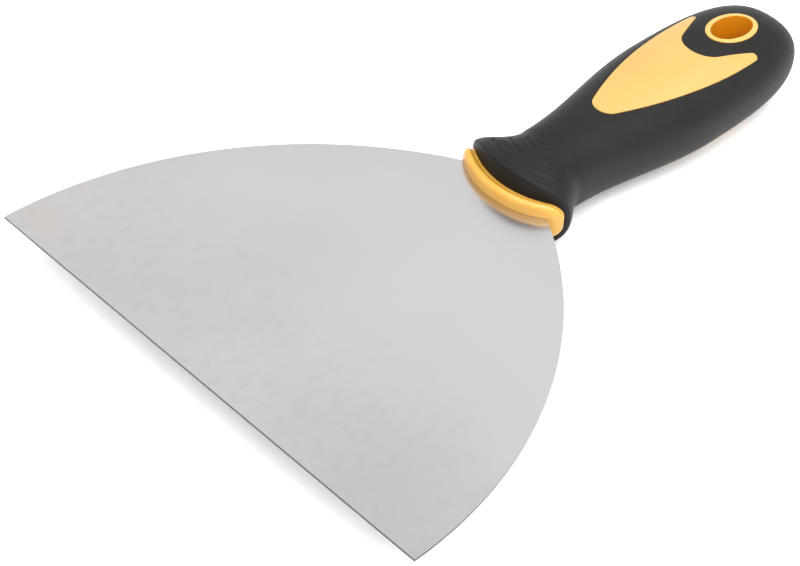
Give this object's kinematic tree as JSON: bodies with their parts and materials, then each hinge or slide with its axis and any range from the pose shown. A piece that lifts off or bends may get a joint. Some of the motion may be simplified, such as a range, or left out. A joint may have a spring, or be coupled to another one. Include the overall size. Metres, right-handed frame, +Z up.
{
  "type": "drywall taping knife",
  "caption": "Wide flexible taping knife with a straight edge, bowed ferrule, soft contoured grip with inlaid windows and a hang hole.",
  "frame": {"origin": "under the middle of the knife's box, level with the lowest point of the grip", "axes": "+Y from the working edge to the handle's rounded end, +X across the blade, +Z up, square to the blade's flat face"},
  "size_m": [0.15, 0.2185, 0.0255],
  "materials": {
    "blade_steel": "satin rolled spring steel with faint smudges",
    "ferrule_plastic": "smooth moulded amber-yellow plastic",
    "core_plastic": "satin moulded yellow plastic",
    "grip_rubber": "matte black soft-touch overmould",
    "pin_steel": "plain steel dowel"
  },
  "bodies": {
    "root": {"blade": "blade_steel", "collar": "ferrule_plastic", "grip": "grip_rubber", "core_upper": "core_plastic", "core_lower": "core_plastic", "hang_eyelet": "core_plastic", "tang_pin_front": "pin_steel", "tang_pin_middle": "pin_steel", "tang_pin_rear": "pin_steel"}
  },
  "joints": []
}
